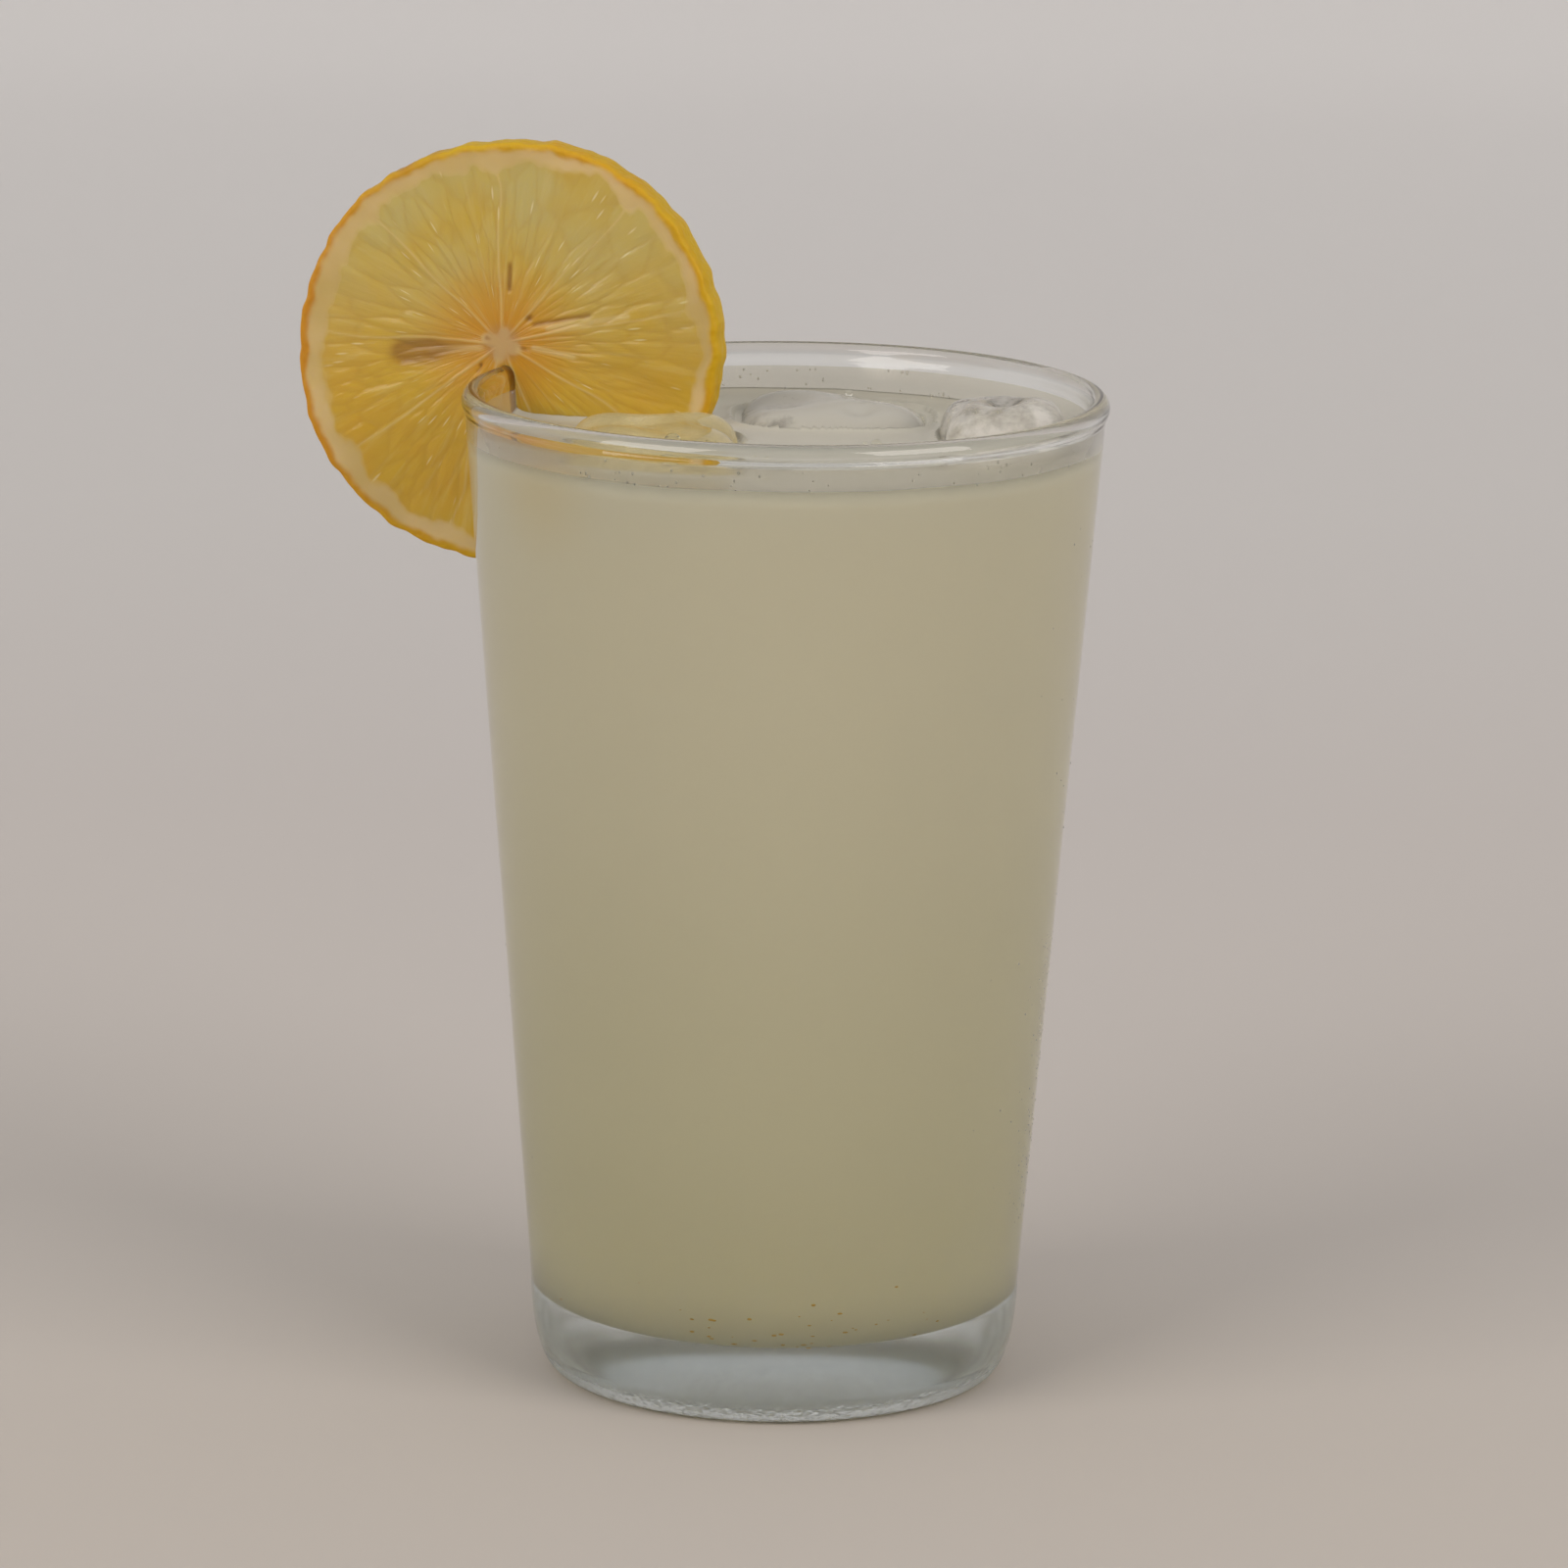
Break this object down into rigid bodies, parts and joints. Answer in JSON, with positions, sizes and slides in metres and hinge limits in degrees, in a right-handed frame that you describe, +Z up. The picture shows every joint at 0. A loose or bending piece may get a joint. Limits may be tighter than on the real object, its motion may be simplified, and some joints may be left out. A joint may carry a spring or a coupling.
{
  "type": "glass of lemonade",
  "caption": "Plain tapered tumbler of cloudy iced lemonade with melting ice at the surface and a slice of lemon hung on the rim.",
  "frame": {"origin": "centre of the foot ring the glass stands on, on the axis of the glass", "axes": "+Z up along the axis of the glass, -Y towards the viewer, the slice hangs on the -X side"},
  "size_m": [0.1094, 0.086, 0.1639],
  "materials": {
    "clear_glass": "clear soda-lime glass, pressed, with a faint green tint",
    "lemonade": "cloudy pale yellow drink with a wet surface",
    "lemon": "moist cut lemon with a pored yellow rind",
    "ice": "melting ice, clear outside and cloudy inside"
  },
  "bodies": {
    "root": {"glass": "clear_glass", "lemonade": "lemonade", "lemon_slice": "lemon", "ice_left": "ice", "ice_middle": "ice", "ice_right": "ice"}
  },
  "joints": []
}
